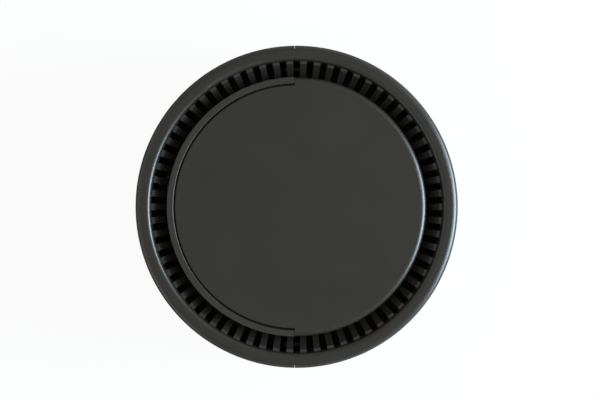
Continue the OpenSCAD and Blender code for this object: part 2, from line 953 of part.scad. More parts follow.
module foam_seal() {
  color("#626264")
    translate([0, 0, cartridge_top])
      ring(core_r, core_r + seal_w, seal_h);
}

module fan_deck() {
  color("#2b2c2c")
    difference() {
      union() {
        translate([0, 0, deck_z])
          ring(inlet_r + inlet_lip_t / 2, plate_r, deck_t);
        translate([0, 0, deck_z])
          rotate_extrude()
            difference() {
              translate([inlet_r, 0])
                square([inlet_lip_t, deck_t + inlet_lip_h]);
              translate([inlet_r, 0])
                rotate(180)
                  corner(inlet_edge_r);
            }
        around(deck_post_angles, deck_post_r)
          translate([0, 0, deck_top - sink])
            cylinder(d = deck_post_d, h = bay_z - deck_top + sink);
      }
      around(post_angles, post_r)
        translate([0, 0, deck_top])
          screw_hole(screw_d, screw_head_d, screw_l);
      around(deck_post_angles, deck_post_r)
        translate([0, 0, bay_top])
          screw_hole(screw_d, screw_head_d, screw_l);
    }
}

module deck_screws() {
  color("#2b2b2c")
    around(post_angles, post_r)
      translate([0, 0, deck_top])
        screw(screw_d, screw_head_d, screw_l);
}

// Slotted ring that keeps fingers out of the fan, with a window for the leads at the board
module fan_guard() {
  guard_h = bay_z - deck_top;
  window_w = plug_w + 4 * slide_gap;
  color("#2e2f2f")
    difference() {
      translate([0, 0, deck_top])
        ring(bay_in_r + fit_gap, bay_r - fit_gap, guard_h);
      for (i = [0 : guard_slots - 1])
        rotate(i * 360 / guard_slots)
          translate([deck_post_r, -guard_slot_w / 2, deck_top + guard_ring_h])
            cube([housing_r - deck_post_r, guard_slot_w, guard_h - 2 * guard_ring_h]);
      translate([-housing_r, -flex_w / 2 - slide_gap, bay_z - guard_ring_h - cut])
        cube([housing_r - deck_post_r, flex_w + 2 * slide_gap, guard_ring_h + 2 * cut]);
      translate([-housing_r, -plug_pitch - window_w / 2, plug_z - plug_h])
        cube([housing_r - deck_post_r, window_w, 2 * plug_h]);
    }
}

// Outline of one blade, swept back along an arc
module blade_outline() {
  inner_r = impeller_r - blade_l;
  function mid(i) = let (f = i / blade_steps, a = -blade_sweep * f * f, r = inner_r + blade_l * f)
    [r * cos(a), r * sin(a)];
  function side(i, s) = let (d = mid(i + 0.5) - mid(i - 0.5), n = [-d[1], d[0]] / norm(d))
    mid(i) + s * blade_t / 2 * n;
  intersection() {
    polygon(concat([for (i = [0 : blade_steps + 1]) side(i, 1)],
      [for (i = [blade_steps + 1 : -1 : 0]) side(i, -1)]));
    circle(impeller_r - fit_gap);
  }
}

module impeller() {
  color("#3f4244")
    difference() {
      union() {
        translate([0, 0, fan_z])
          cylinder(r = cup_r, h = nose_t);
        translate([0, 0, fan_z])
          ring(cup_in_r, cup_r, back_top - fan_z);
        translate([0, 0, blade_top])
          ring(cup_in_r, impeller_r, back_t);
        translate([0, 0, fan_z])
          ring(impeller_r - shroud_w, impeller_r, shroud_t);
        translate([0, 0, fan_z + shroud_t / 2])
          for (i = [0 : blades - 1])
            rotate(i * 360 / blades)
              linear_extrude(blade_h + (back_t - shroud_t) / 2)
                blade_outline();
      }
      translate([0, 0, fan_z - cut])
        cylinder(r = shaft_r + screw_play, h = nose_t + 2 * cut);
    }
}

module ring_magnet() {
  color("#55575b")
    translate([0, 0, fan_z + nose_t])
      ring(ring_magnet_in_r, ring_magnet_r, back_top - fan_z - nose_t - slide_gap);
}

module motor_shaft() {
  color("#c4c6c9")
    translate([0, 0, fan_z])
      cylinder(r = shaft_r, h = shaft_top - fan_z);
}

module shaft_clip() {
  color("#7d8084")
    translate([0, 0, clip_z])
      difference() {
        cylinder(r = clip_r, h = clip_t);
        translate([0, 0, -cut])
          cylinder(r = shaft_r + screw_play, h = clip_t + 2 * cut);
        translate([0, -shaft_r / 2, -cut])
          cube([clip_r + cut, shaft_r, clip_t + 2 * cut]);
      }
}

module bearing_bush() {
  color("#b08a4e")
    translate([0, 0, tube_z])
      ring(bush_in_r, bush_r, bush_top - tube_z);
}

// Outline of one stator pole with its shoe
module pole_outline() {
  shoe_t = winding_t;
  shoe_half = 90 / poles + winding_t;
  mid_r = stator_in_r + stator_w / 4;
  translate([mid_r, -pole_w / 2])
    square([stator_r - shoe_t / 2 - mid_r, pole_w]);
  intersection() {
    difference() {
      circle(stator_r);
      circle(stator_r - shoe_t);
    }
    polygon([[0, 0], 2 * stator_r * [cos(shoe_half), -sin(shoe_half)],
      2 * stator_r * [cos(shoe_half), sin(shoe_half)]]);
  }
}

module stator_core() {
  color("#6d7074")
    translate([0, 0, stator_z]) {
      ring(stator_in_r, stator_in_r + stator_w / 4 + winding_t / 2, stator_h);
      for (i = [0 : poles - 1])
        rotate(i * 360 / poles)
          linear_extrude(stator_h)
            pole_outline();
    }
}

module stator_coils() {
  start = stator_in_r + stator_w / 4 + winding_t / 2 + fit_gap;
  outer_w = pole_w + 2 * winding_t + 2 * screw_play;
  end = sqrt(pow(stator_r - winding_t - fit_gap, 2) - pow(outer_w / 2, 2));
  color("#b5652d")
    for (i = [0 : poles - 1])
      rotate(i * 360 / poles)
        difference() {
          translate([start, -outer_w / 2, stator_z - winding_t - screw_play])
            cube([end - start, outer_w, stator_h + 2 * winding_t + 2 * screw_play]);
          translate([start - cut, -pole_w / 2 - screw_play, stator_z - screw_play])
            cube([end - start + 2 * cut, pole_w + 2 * screw_play, stator_h + 2 * screw_play]);
        }
}

module motor_board() {
  color("#18181a")
    translate([0, 0, bay_z - motor_board_t])
      ring(tube_r + fit_gap, flex_in_r, motor_board_t);
}

// Flat flex from the motor board along the bay floor and down to the control board
module motor_flex() {
  color("#a9772f") {
    translate([flex_end_x, -flex_w / 2, bay_z - flex_t])
      cube([-flex_in_r - flex_end_x - fit_gap, flex_w, flex_t]);
    translate([flex_end_x, -flex_w / 2, board_z + board_h - plug_h])
      cube([flex_t, flex_w, bay_z - board_z - board_h + plug_h]);
  }
}

module bay_cup() {
  color("#2b2c2c")
    difference() {
      union() {
        translate([0, 0, bay_z])
          cylinder(r = bay_r, h = bay_floor_t);
        translate([0, 0, bay_z])
          ring(bay_in_r, bay_r, bay_wall_top - bay_z);
        translate([0, 0, tube_z])
          cylinder(r = tube_r, h = bay_z - tube_z + sink);
      }
      translate([0, 0, tube_z - cut])
        cylinder(r = tube_in_r, h = pocket_z - tube_z + 2 * cut);
      translate([0, 0, pocket_z])
        cylinder(r = pocket_r, h = bay_top - pocket_z + cut);
      around(deck_post_angles, deck_post_r)
        translate([0, 0, bay_top])
          screw_hole(screw_d, screw_head_d, screw_l);
      translate([-lead_hole_x, -plug_pitch, bay_z - cut])
        cylinder(r = 2 * lead_y + 2 * fit_gap, h = bay_floor_t + 2 * cut);
    }
}

module bay_screws() {
  color("#2b2b2c")
    around(deck_post_angles, deck_post_r)
      translate([0, 0, bay_top])
        screw(screw_d, screw_head_d, screw_l);
}

module bay_lid() {
  color("#313130") {
    translate([0, 0, lid_z])
      cylinder(r = skirt_r, h = bay_lid_t);
    translate([0, 0, bay_top])
      ring(skirt_r - bay_skirt_t, skirt_r, lid_top - bay_top);
  }
}

// Outline of the battery with round corners
module battery_outline(l, w) {
  square([l - 2 * battery_r, w], center = true);
  square([l, w - 2 * battery_r], center = true);
  for (x = [-1, 1], y = [-1, 1])
    translate([x * (l / 2 - battery_r), y * (w / 2 - battery_r)])
      circle(battery_r);
}

module battery() {
  color("#b9bcc0")
    translate([0, 0, bay_top + pad_t])
      linear_extrude(battery_t)
        battery_outline(battery_l, battery_w);
}

module battery_pad() {
  color("#707174")
    translate([0, 0, bay_top])
      linear_extrude(pad_t)
        battery_outline(battery_l, battery_w);
}

// A lead with round bends along its points
module lead(points) {
  for (i = [0 : len(points) - 2]) {
    run = points[i + 1] - points[i];
    translate(points[i])
      rotate([0, acos(run[2] / norm(run)), atan2(run[1], run[0])])
        cylinder(d = lead_d, h = norm(run));
    if (i > 0)
      translate(points[i])
        sphere(d = lead_d);
  }
}

module battery_leads() {
  bend = 2 * lead_d;
  color("#b3261e")
    for (y = [-plug_pitch - lead_y, -plug_pitch + lead_y])
      lead([[-battery_l / 2 - screw_play, y, lead_z], [bend - lead_hole_x, y, lead_z],
        [-lead_hole_x, y, lead_z - bend], [-lead_hole_x, y, plug_z + bend],
        [-lead_hole_x - bend, y, plug_z], [board_in_x + plug_l + screw_play, y, plug_z]]);
}

module control_board() {
  color("#18181a")
    difference() {
      translate([board_x, -board_w / 2, board_z])
        cube([board_t, board_w, board_h]);
      for (end = [-1, 1])
        along_x(board_in_x, end * board_screw_x, board_z + board_h / 2)
          screw_hole(small_screw_d, small_head_d, small_screw_l);
    }
}

// Plug for the leads, socket for the flex, processor and coil on the inner face of the board
module board_parts() {
  socket_grip = plug_h / 2;
  color("#1a1a1c") {
    translate([board_in_x, -plug_pitch - plug_w / 2, plug_z - plug_h / 2])
      cube([plug_l, plug_w, plug_h]);
    translate([board_in_x, -flex_w / 2 - fit_gap, board_z + board_h - plug_h])
      cube([flex_end_x - board_in_x - screw_play, flex_w + 2 * fit_gap, socket_grip]);
    translate([board_in_x, chip_pitch - chip_w / 2, board_z + chip_t])
      cube([chip_t, chip_w, chip_w]);
    translate([board_in_x, -chip_pitch - chip_w / 2, board_z + chip_t])
      cube([coil_t, chip_w, chip_w]);
  }
}

module board_screws() {
  color("#2b2b2c")
    for (end = [-1, 1])
      along_x(board_in_x, end * board_screw_x, board_z + board_h / 2)
        screw(small_screw_d, small_head_d, small_screw_l);
}

module charge_socket() {
  mouth_x = -housing_r + socket_recess;
  depth = board_x - mouth_x;
  tongue_h = socket_h / 5;
  back = depth / 5;
  color("#3a3a3c")
    difference() {
      along_x(mouth_x, 0, socket_z)
        linear_extrude(depth)
          socket_outline(0);
      difference() {
        along_x(mouth_x - cut, 0, socket_z)
          linear_extrude(depth + cut - back)
            socket_outline(-socket_t);
        translate([mouth_x + cut / 2, socket_h - socket_w / 2, socket_z - tongue_h / 2])
          cube([depth, socket_w - 2 * socket_h, tongue_h]);
      }
    }
}

module push_switch() {
  color("#2a2a2c")
    difference() {
      translate([switch_x, -switch_w / 2, button_z - switch_w / 2])
        cube([switch_h, switch_w, switch_w]);
      along_x(switch_x - cut, 0, button_z)
        cylinder(r = stem_d / 2 + button_play, h = cut + stem_l);
    }
}

module switch_stem() {
  color("#262627")
    along_x(collar_in_x, 0, button_z)
      cylinder(d = stem_d, h = stem_l);
}

module status_light() {
  color("#252527")
    translate([board_x - light_h, light_pitch - pipe_d / 2, button_z - pipe_d / 4])
      cube([light_h, pipe_d, pipe_d / 2]);
}

module light_pipe() {
  color("#6a6c6e")
    along_x(pipe_x, light_pitch, button_z)
      cylinder(d = pipe_d, h = board_x - light_h - slide_gap - pipe_x);
}

module power_button() {
  face_x = -housing_r + button_recess;
  dish_r = 4 * button_d;
  dish = button_recess / 2;
  color("#3b3b39")
    difference() {
      union() {
        along_x(face_x, 0, button_z)
          cylinder(r = button_r, h = collar_in_x - face_x);
        along_x(collar_x, 0, button_z)
          cylinder(r = collar_r, h = button_collar_t);
      }
      translate([face_x + dish - dish_r, 0, button_z])
        sphere(dish_r);
    }
}

module left_magnets() {
  color("#c9cbce")
    magnets(-1);
}

module right_magnets() {
  color("#c9cbce")
    magnets(1);
}

left_shell();
right_shell();
left_grille();
right_grille();
cover_disc();
base_plate();
rubber_feet();
base_screws();
filter_tray();
tray_screws();
cover_screws();
lower_cap();
upper_cap();
pleated_paper();
carbon_sleeve();
outer_mesh();
foam_seal();
fan_deck();
deck_screws();
fan_guard();
impeller();
ring_magnet();
motor_shaft();
shaft_clip();
bearing_bush();
stator_core();
stator_coils();
motor_board();
motor_flex();
bay_cup();
bay_screws();
bay_lid();
battery();
battery_pad();
battery_leads();
control_board();
board_parts();
board_screws();
charge_socket();
push_switch();
switch_stem();
status_light();
light_pipe();
power_button();
left_magnets();
right_magnets();
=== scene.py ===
import math
import random

import bmesh
import bpy
from mathutils import Matrix, Vector, noise


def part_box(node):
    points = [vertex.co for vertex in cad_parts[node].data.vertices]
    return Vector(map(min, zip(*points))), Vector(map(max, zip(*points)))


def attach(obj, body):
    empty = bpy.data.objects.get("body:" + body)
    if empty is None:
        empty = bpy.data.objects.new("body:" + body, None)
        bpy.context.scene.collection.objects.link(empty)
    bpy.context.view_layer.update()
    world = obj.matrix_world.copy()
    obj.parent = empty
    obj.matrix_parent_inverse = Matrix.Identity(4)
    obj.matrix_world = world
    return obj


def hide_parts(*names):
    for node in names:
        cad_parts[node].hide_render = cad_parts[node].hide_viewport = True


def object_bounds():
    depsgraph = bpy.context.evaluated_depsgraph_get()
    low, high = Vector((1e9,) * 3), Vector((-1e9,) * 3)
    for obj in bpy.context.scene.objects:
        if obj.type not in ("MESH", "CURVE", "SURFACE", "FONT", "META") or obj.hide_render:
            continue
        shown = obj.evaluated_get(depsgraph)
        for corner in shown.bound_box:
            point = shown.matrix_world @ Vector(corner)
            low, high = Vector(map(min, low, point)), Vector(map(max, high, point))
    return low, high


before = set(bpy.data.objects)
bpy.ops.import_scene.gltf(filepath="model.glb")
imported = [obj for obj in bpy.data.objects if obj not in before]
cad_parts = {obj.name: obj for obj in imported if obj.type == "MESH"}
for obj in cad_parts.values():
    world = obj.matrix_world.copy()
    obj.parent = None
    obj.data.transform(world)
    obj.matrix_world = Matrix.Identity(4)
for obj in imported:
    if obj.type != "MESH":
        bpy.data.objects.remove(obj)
cad_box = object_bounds()

# The camera hangs straight above the unit, as the picture was taken. The rim is the widest thing it sees,
# so the rim's radius and centre in the picture give the lens and the place of the camera.
MM = 0.001
picture_w = 600
picture_h = 400
picture_centre = (296.65, 206.78)
picture_radius = 161.12
rim_round = 2 * MM
rim_r = cad_box[1].x
rim_top = cad_box[1].z - rim_round
stand_off = 0.45
sensor_w = 36.0
pixel = rim_r / picture_radius

scene = bpy.context.scene
camera = bpy.data.objects.new("camera", bpy.data.cameras.new("camera"))
camera.data.sensor_width = sensor_w
camera.data.lens = sensor_w * stand_off / pixel / picture_w
camera.location = (
    (picture_w / 2 - picture_centre[0]) * pixel,
    (picture_centre[1] - picture_h / 2) * pixel,
    rim_top + stand_off,
)
scene.collection.objects.link(camera)
scene.camera = camera
scene.view_settings.view_transform = "Standard"


# The light is one long cool softbox low on the right, brightest in its middle, which draws the bright lines
# along the rounded edges. A weaker one above it reaches into the vent, faint ones stand on the left, and an
# even warm room lies round them.
def softbox(name, colour, azimuth, elevation, distance, size, radiance):
    """A flat lamp that faces the unit from a compass angle and a height above the horizon, in degrees."""
    lamp = bpy.data.lights.new(name, "AREA")
    lamp.shape = "RECTANGLE"
    lamp.size = size[0]
    lamp.size_y = size[1]
    lamp.energy = radiance * math.pi * size[0] * size[1]
    lamp.color = colour
    box = bpy.data.objects.new(name, lamp)
    turn = math.radians(azimuth)
    rise = math.radians(elevation)
    outward = Vector((math.cos(turn) * math.cos(rise), math.sin(turn) * math.cos(rise), math.sin(rise)))
    box.location = Vector((0, 0, rim_top)) + outward * distance
    box.rotation_euler = outward.to_track_quat("Z", "Y").to_euler()
    box.visible_camera = False
    scene.collection.objects.link(box)


cool = (0.76, 1.0, 1.2)
pale = (0.9, 1.0, 1.12)
plain = (0.95, 1.0, 1.0)
softbox("right_core", cool, azimuth=-2, elevation=16, distance=0.9, size=(0.46, 0.5), radiance=8.2)
softbox("right_skirt", cool, azimuth=-2, elevation=16, distance=0.95, size=(1.0, 0.53), radiance=8.0)
softbox("upper_softbox", cool, azimuth=0, elevation=40, distance=0.9, size=(0.5, 0.3), radiance=5.0)
softbox("left_softbox", pale, azimuth=180, elevation=32, distance=0.9, size=(0.9, 0.8), radiance=0.4)
softbox("corner_softbox", plain, azimuth=-142, elevation=14, distance=0.9, size=(0.5, 0.3), radiance=1.2)
scene.world = bpy.data.worlds.new("room")
scene.world.use_nodes = True
room = scene.world.node_tree.nodes["Background"].inputs
room["Color"].default_value = (1.0, 0.955, 0.86, 1)
room["Strength"].default_value = 0.37


# The floor is a wide sheet of matt white card. The lens and shiny surfaces see it as plain white, and it
# keeps a part of the unit's soft shadow.
class Wire:
    """A shader socket that takes plain arithmetic: each operator adds its Math node."""

    def __init__(self, tree, socket):
        self.tree = tree
        self.socket = socket

    def node(self, kind, settings, inputs, output=0):
        """Adds any node: its settings first, then the values or links of its sockets."""
        made = self.tree.nodes.new("ShaderNode" + kind)
        for name, value in settings.items():
            setattr(made, name, value)
        for name, value in inputs.items():
            if isinstance(value, Wire):
                self.tree.links.new(value.socket, made.inputs[name])
            elif made.inputs[name].type == "RGBA":
                made.inputs[name].default_value = (*value, 1)
            else:
                made.inputs[name].default_value = value
        return Wire(self.tree, made.outputs[output])

    def math(self, operation, *values):
        """A Math node on these values, in order."""
        return self.node("Math", {"operation": operation}, dict(enumerate(values)))

    def __add__(self, other):
        return self.math("ADD", self, other)

    def __sub__(self, other):
        return self.math("SUBTRACT", self, other)

    def __rsub__(self, other):
        return self.math("SUBTRACT", other, self)

    def __mul__(self, other):
        return self.math("MULTIPLY", self, other)

    def __truediv__(self, other):
        return self.math("DIVIDE", self, other)

    __radd__ = __add__
    __rmul__ = __mul__

    def rise(self, low, high):
        """0 up to low, 1 from high on, and smooth between; a high below the low turns it round."""
        settings = {"interpolation_type": "SMOOTHSTEP"}
        return self.node("MapRange", settings, {"Value": self, "From Min": low, "From Max": high})

    def mix(self, first, second):
        """The first colour where this is 0, and the second where it is 1."""
        return self.node("Mix", {"data_type": "RGBA"}, {0: self, 6: first, 7: second}, 2)

    def split(self):
        """The three lengths of a vector."""
        return [self.node("SeparateXYZ", {}, {0: self}, axis) for axis in range(3)]

    def off_axis(self):
        """The distance of a place from the upright axis."""
        across, along, _ = self.split()
        return self.math("SQRT", across * across + along * along)

    def off_centre(self, middle):
        """The square of a place's distance from a line along X through a middle."""
        _, across, up = self.split()
        return (across - middle.y) * (across - middle.y) + (up - middle.z) * (up - middle.z)

    def stretched(self, *scale):
        """The place with its axes scaled: a small scale draws out what lies along that axis."""
        return self.node("Mapping", {}, {"Vector": self, "Scale": scale})


def seen_white(darker, lighter, white_share):
    """The floor's material: a share of plain white for the lens and for mirror rays, over matt card."""
    fibre_scale = 900.0
    material = bpy.data.materials.new("white card")
    material.use_nodes = True
    tree = material.node_tree
    tree.nodes.clear()
    output = tree.nodes.new("ShaderNodeOutputMaterial")
    rays = tree.nodes.new("ShaderNodeLightPath")
    lens, mirror, glass = (
        Wire(tree, rays.outputs[ray]) for ray in ("Is Camera Ray", "Is Glossy Ray", "Is Transmission Ray")
    )
    seen = lens.math("MAXIMUM", lens, lens.math("MAXIMUM", mirror, glass))
    place = Wire(tree, tree.nodes.new("ShaderNodeTexCoord").outputs["Object"])
    fibre = place.node("TexNoise", {}, {"Vector": place, "Scale": fibre_scale, "Detail": 3.0})
    card = place.node("BsdfDiffuse", {}, {"Color": fibre.mix(darker, lighter)})
    white = place.node("Emission", {}, {"Color": (1, 1, 1), "Strength": 1.0})
    both = place.node("MixShader", {}, {0: seen * white_share, 1: card, 2: white})
    tree.links.new(both.socket, output.inputs["Surface"])
    return material


def piece(name, shape, material, sharp_above=math.radians(40)):
    """Turns a finished bmesh into an object at the origin, smooth but for edges sharper than an angle."""
    mesh = bpy.data.meshes.new(name)
    shape.to_mesh(mesh)
    shape.free()
    mesh.materials.append(material)
    mesh.shade_smooth()
    mesh.set_sharp_from_angle(angle=sharp_above)
    made = bpy.data.objects.new(name, mesh)
    scene.collection.objects.link(made)
    return made


floor_w = 8.0
card_grey = (0.9, 0.9, 0.89)
card_white = (0.94, 0.94, 0.93)
card = bmesh.new()
bmesh.ops.create_grid(card, x_segments=1, y_segments=1, size=floor_w / 2)
piece("floor", card, seen_white(card_grey, card_white, white_share=0.93))


# The housing is two half shells of dark warm-grey plastic, moulded with a fine eroded grain that is duller
# on the side wall than on the rim. The left half is screwed to the base and carries the works; the right
# half is the front of the filter drawer.
def speckle(place, size, detail=2.0):
    """Soft random patches of about this size."""
    return place.node("TexNoise", {}, {"Vector": place, "Scale": 1 / size, "Detail": detail})


def relief(height, depth):
    """A surface direction that follows a height from 0 to 1 over this depth."""
    return height.node("Bump", {}, {"Strength": 1.0, "Distance": depth, "Height": height})


def tint(colour, share):
    """A colour made lighter or darker by a share."""
    return tuple(part * share for part in colour)


def finish(name, recipe, **constants):
    """A material: constants go straight on the shader's sockets, and the recipe gives what varies."""
    material = bpy.data.materials.new(name)
    material.use_nodes = True
    tree = material.node_tree
    shader = tree.nodes["Principled BSDF"]
    for socket, value in constants.items():
        shader.inputs[socket.replace("_", " ")].default_value = value
    place = Wire(tree, tree.nodes.new("ShaderNodeTexCoord").outputs["Object"])
    for socket, value in recipe(place).items():
        tree.links.new(value.socket, shader.inputs[socket])
    return material


def dress(material, *nodes):
    """Puts a material on construction pieces that keep their shape."""
    for node in nodes:
        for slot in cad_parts[node].material_slots:
            slot.material = material


def moulded(name, colour, grain_size, roughness, dulled=None, **constants):
    """Moulded plastic: eroded grain, clouds from the melt and uneven gloss, duller where it is told."""
    grain_depth = 0.012 * MM
    cloud_size = 14 * MM

    def recipe(place):
        grain = speckle(place, grain_size, 3.0)
        cloud = speckle(place, cloud_size, 3.0)
        shade = grain * 0.45 + cloud * 0.55
        gloss = roughness + (cloud - 0.5) * 0.1 + (grain - 0.5) * 0.12
        return {
            "Base Color": shade.mix(tint(colour, 0.8), tint(colour, 1.2)),
            "Roughness": gloss + dulled(place) if dulled else gloss,
            "Normal": relief(grain, grain_depth),
        }

    return finish(name, recipe, **constants)


housing_grey = (0.0224, 0.0193, 0.0148)
plastic_ior = 1.58
wall_from = rim_r - 0.76 * MM
wall_full = rim_r - 0.46 * MM
wall_roughness = 0.62


def side_wall(place):
    """The extra roughness of the wall, which starts half way down the rim's rounded edge."""
    return place.off_axis().rise(wall_from, wall_full) * wall_roughness


housing = moulded(
    "housing plastic", housing_grey, grain_size=0.32 * MM, roughness=0.32, dulled=side_wall, IOR=plastic_ior
)
dress(housing, "left_shell", "right_shell")

# The outlet grille is two half rings of the same plastic, moulded a little duller: a floor of ribs that the
# air leaves through, a comb against the rim and, on the left half, the thin raised lip round the disc.
grille_grey = (0.0245, 0.0216, 0.0173)
grille = moulded("grille plastic", grille_grey, grain_size=0.28 * MM, roughness=0.4, IOR=plastic_ior)
dress(grille, "left_grille", "right_grille")

# The cover disc is a flat moulding of the housing's plastic with a rounded edge, screwed from below to the
# drawer's half of the grille. Its face is plain, with an even fine grain.
disc_grey = (0.0221, 0.0188, 0.0141)
disc = moulded("disc plastic", disc_grey, grain_size=0.30 * MM, roughness=0.34, IOR=plastic_ior)
dress(disc, "cover_disc")

# The base plate closes the housing from below: a thick moulding with two rails for the drawer, plain inside
# and finely grained underneath. Fan deck and fan guard are of the same black plastic, so that nothing shows
# in the vent.
inner_grey = (0.010, 0.010, 0.0105)
inner = moulded("inner plastic", inner_grey, grain_size=0.5 * MM, roughness=0.46)
dress(inner, "base_plate", "fan_deck", "fan_guard")

# The bay over the fan holds the battery. Its cup and lid are moulded in a lighter regrind, with a coarser,
# duller surface than the parts that are seen.
bay_grey = (0.034, 0.035, 0.037)
bay = moulded("bay plastic", bay_grey, grain_size=0.6 * MM, roughness=0.52)
dress(bay, "bay_cup", "bay_lid")


# Four rubber feet, cut from moulded pads and pressed into round recesses of the base plate. The rubber is
# matt, and a pale bloom lies on it in patches.
def rubber(place):
    grit = speckle(place, 0.2 * MM, 4.0)
    bloom = speckle(place, 3 * MM, 3.0)
    return {
        "Base Color": bloom.mix((0.010, 0.010, 0.010), (0.034, 0.034, 0.033)),
        "Roughness": 0.7 + grit * 0.25,
        "Normal": relief(grit, 0.04 * MM),
    }


dress(finish("foot rubber", rubber), "rubber_feet")


# Countersunk screws of steel with a cross recess and a black zinc coating. The coating is a little cloudy,
# and the driver has rubbed it lighter in specks.
def blackened(place):
    cloud = speckle(place, 1.1 * MM, 4.0)
    rub = speckle(place, 0.35 * MM, 3.0).rise(0.6, 0.75)
    return {
        "Base Color": (cloud * 0.5 + rub * 0.5).mix((0.010, 0.010, 0.011), (0.060, 0.059, 0.057)),
        "Roughness": 0.42 + cloud * 0.2 - rub * 0.1,
        "Normal": relief(rub, 0.008 * MM),
    }


screw_steel = finish("black zinc", blackened, Metallic=0.8)
dress(screw_steel, "base_screws", "deck_screws", "bay_screws", "tray_screws", "cover_screws", "board_screws")


# The motor's shaft and its clip are ground spring steel. Grinding leaves fine rings round the shaft, and a
# film of oil takes some of the shine.
def stripes(length, pitch):
    """Even waves from 0 to 1 along a length."""
    phase = length * (2 * math.pi / pitch)
    return phase.math("SINE", phase) * 0.5 + 0.5


def ground(place):
    rings = stripes(place.split()[2], 0.09 * MM)
    film = speckle(place, 0.8 * MM, 3.0)
    return {
        "Base Color": film.mix((0.50, 0.51, 0.52), (0.66, 0.66, 0.66)),
        "Roughness": 0.14 + film * 0.12 + rings * 0.06,
        "Normal": relief(rings, 0.003 * MM),
    }


dress(finish("ground steel", ground, Metallic=1.0), "motor_shaft", "shaft_clip")


# The bearing bush is sintered bronze, pressed from powder and glued into the tube of the bay's floor. Its
# open pores hold the oil that the shaft runs in; their colour is painted dark, as painted shade in the
# pores.
def pores(place, size):
    """The distance to the nearest of many scattered points, from 0 at a point to about 1."""
    return place.node("TexVoronoi", {}, {"Vector": place, "Scale": 1 / size})


def sintered(place):
    grain = pores(place, 0.12 * MM)
    open_pore = grain.rise(0.2, 0.05)
    return {
        # Painted shade: the colour is dark in the pores, where the relief is low.
        "Base Color": open_pore.mix((0.56, 0.36, 0.17), (0.10, 0.06, 0.03)),
        "Roughness": 0.3 + open_pore * 0.3,
        "Normal": relief(grain, 0.01 * MM),
    }


dress(finish("sintered bronze", sintered, Metallic=0.9), "bearing_bush")


# The stator core is a stack of stamped electrical steel sheets, half a millimetre each, with a blue-grey
# coating and dark lines between the sheets.
def laminated(place):
    sheet = stripes(place.split()[2], 0.5 * MM).rise(0.05, 0.35)
    stain = speckle(place, 1.5 * MM, 3.0)
    return {
        "Base Color": sheet.mix((0.03, 0.03, 0.03), (0.30, 0.32, 0.35)),
        "Roughness": 0.34 + stain * 0.2,
        "Normal": relief(sheet, 0.03 * MM),
    }


dress(finish("stacked sheets", laminated, Metallic=0.8), "stator_core")


# Six coils of enamelled copper wire, wound round the stator's teeth. The turns lie side by side along each
# tooth, and the enamel is glossy; its colour is painted darker in the gaps between turns, as painted shade.
tooth_pitch = math.pi / 3


def wound(place):
    across, along, _ = place.split()
    angle = along.math("ARCTAN2", along, across)
    tooth = angle / tooth_pitch
    off_tooth = angle - tooth.math("ROUND", tooth) * tooth_pitch
    turns = stripes(place.off_axis() * off_tooth.math("COSINE", off_tooth), 0.28 * MM)
    return {
        # Painted shade: the colour darkens in the gaps between the turns, where the relief is low.
        "Base Color": turns.mix((0.22, 0.06, 0.02), (0.72, 0.30, 0.13)),
        "Roughness": 0.36 - turns * 0.12,
        "Normal": relief(turns, 0.1 * MM),
    }


dress(finish("enamelled copper", wound, Metallic=0.9, Coat_Weight=0.5), "stator_coils")


# The rotor's magnet is a ring of sintered ferrite, dark grey and dull, ground on its bore and chipped in
# specks along its edges.
def ferrite(place):
    grind = stripes(place.split()[2], 0.16 * MM)
    speck = pores(place, 0.4 * MM).rise(0.16, 0.08)
    return {
        "Base Color": speck.mix((0.050, 0.050, 0.053), (0.016, 0.016, 0.016)),
        "Roughness": 0.48 + grind * 0.12,
        "Normal": relief(grind, 0.006 * MM),
    }


dress(finish("ferrite", ferrite, Metallic=0.3), "ring_magnet")


# The circuit boards are glass-filled laminate under black solder mask. Tracks stand up slightly under the
# mask, and tinned holes show as small bright dots.
board_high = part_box("control_board")[1]


def masked_board(place):
    _, across, up = place.split()
    field = speckle(place, 5 * MM, 1.0)
    tracks = stripes(across + field * (3 * MM), 0.9 * MM).rise(0.62, 0.78)
    feeders = stripes(up + field * (2 * MM), 1.7 * MM).rise(0.8, 0.9)
    copper = tracks.math("MAXIMUM", tracks, feeders)
    inside = up.rise(board_high.z - 0.4 * MM, board_high.z - 0.6 * MM)
    hole = pores(place, 2.2 * MM).rise(0.13, 0.1) * inside
    mask = copper.mix((0.006, 0.006, 0.007), (0.016, 0.015, 0.014))
    return {
        "Base Color": hole.mix(mask, (0.50, 0.46, 0.36)),
        "Metallic": hole * 0.9,
        "Roughness": 0.6 - inside * 0.3 + field * 0.12,
        "Normal": relief(copper, 0.035 * MM),
    }


dress(finish("solder mask", masked_board), "control_board", "motor_board")


# The flat cable between the motor and the control board is two amber films laminated round copper tracks.
# It is soldered to the motor's board and plugged into the control board.
def film_cable(place):
    tracks = stripes(place.split()[1], 0.75 * MM).rise(0.45, 0.65)
    ripple = speckle(place, 2.5 * MM)
    return {
        "Base Color": tracks.mix((0.30, 0.12, 0.015), (0.58, 0.26, 0.05)),
        "Roughness": 0.22 + ripple * 0.14,
        "Normal": relief(tracks * 0.4 + ripple * 0.6, 0.05 * MM),
    }


dress(finish("amber film", film_cable, Coat_Weight=0.4), "motor_flex")


# The impeller is moulded from glass-filled nylon. Flow lines run out from its hub, and fibres make the
# surface finely mottled.
lines_round = 7.0
lines_out = 900.0
lines_up = 60.0
line_scale = 2.4


def glass_filled(place):
    across, along, up = place.split()
    angle = along.math("ARCTAN2", along, across)
    reach = (across * across + along * along) * lines_out
    flow = angle.node("CombineXYZ", {}, {0: angle * lines_round, 1: reach, 2: up * lines_up})
    lines = flow.node("TexNoise", {}, {"Vector": flow, "Scale": line_scale, "Detail": 3.0})
    fibre = speckle(place, 0.25 * MM, 3.0)
    return {
        "Base Color": (lines * 0.6 + fibre * 0.4).mix((0.030, 0.032, 0.035), (0.075, 0.078, 0.082)),
        "Roughness": 0.42 + fibre * 0.16,
        "Normal": relief(lines * 0.5 + fibre * 0.5, 0.02 * MM),
    }


dress(finish("glass-filled nylon", glass_filled), "impeller")


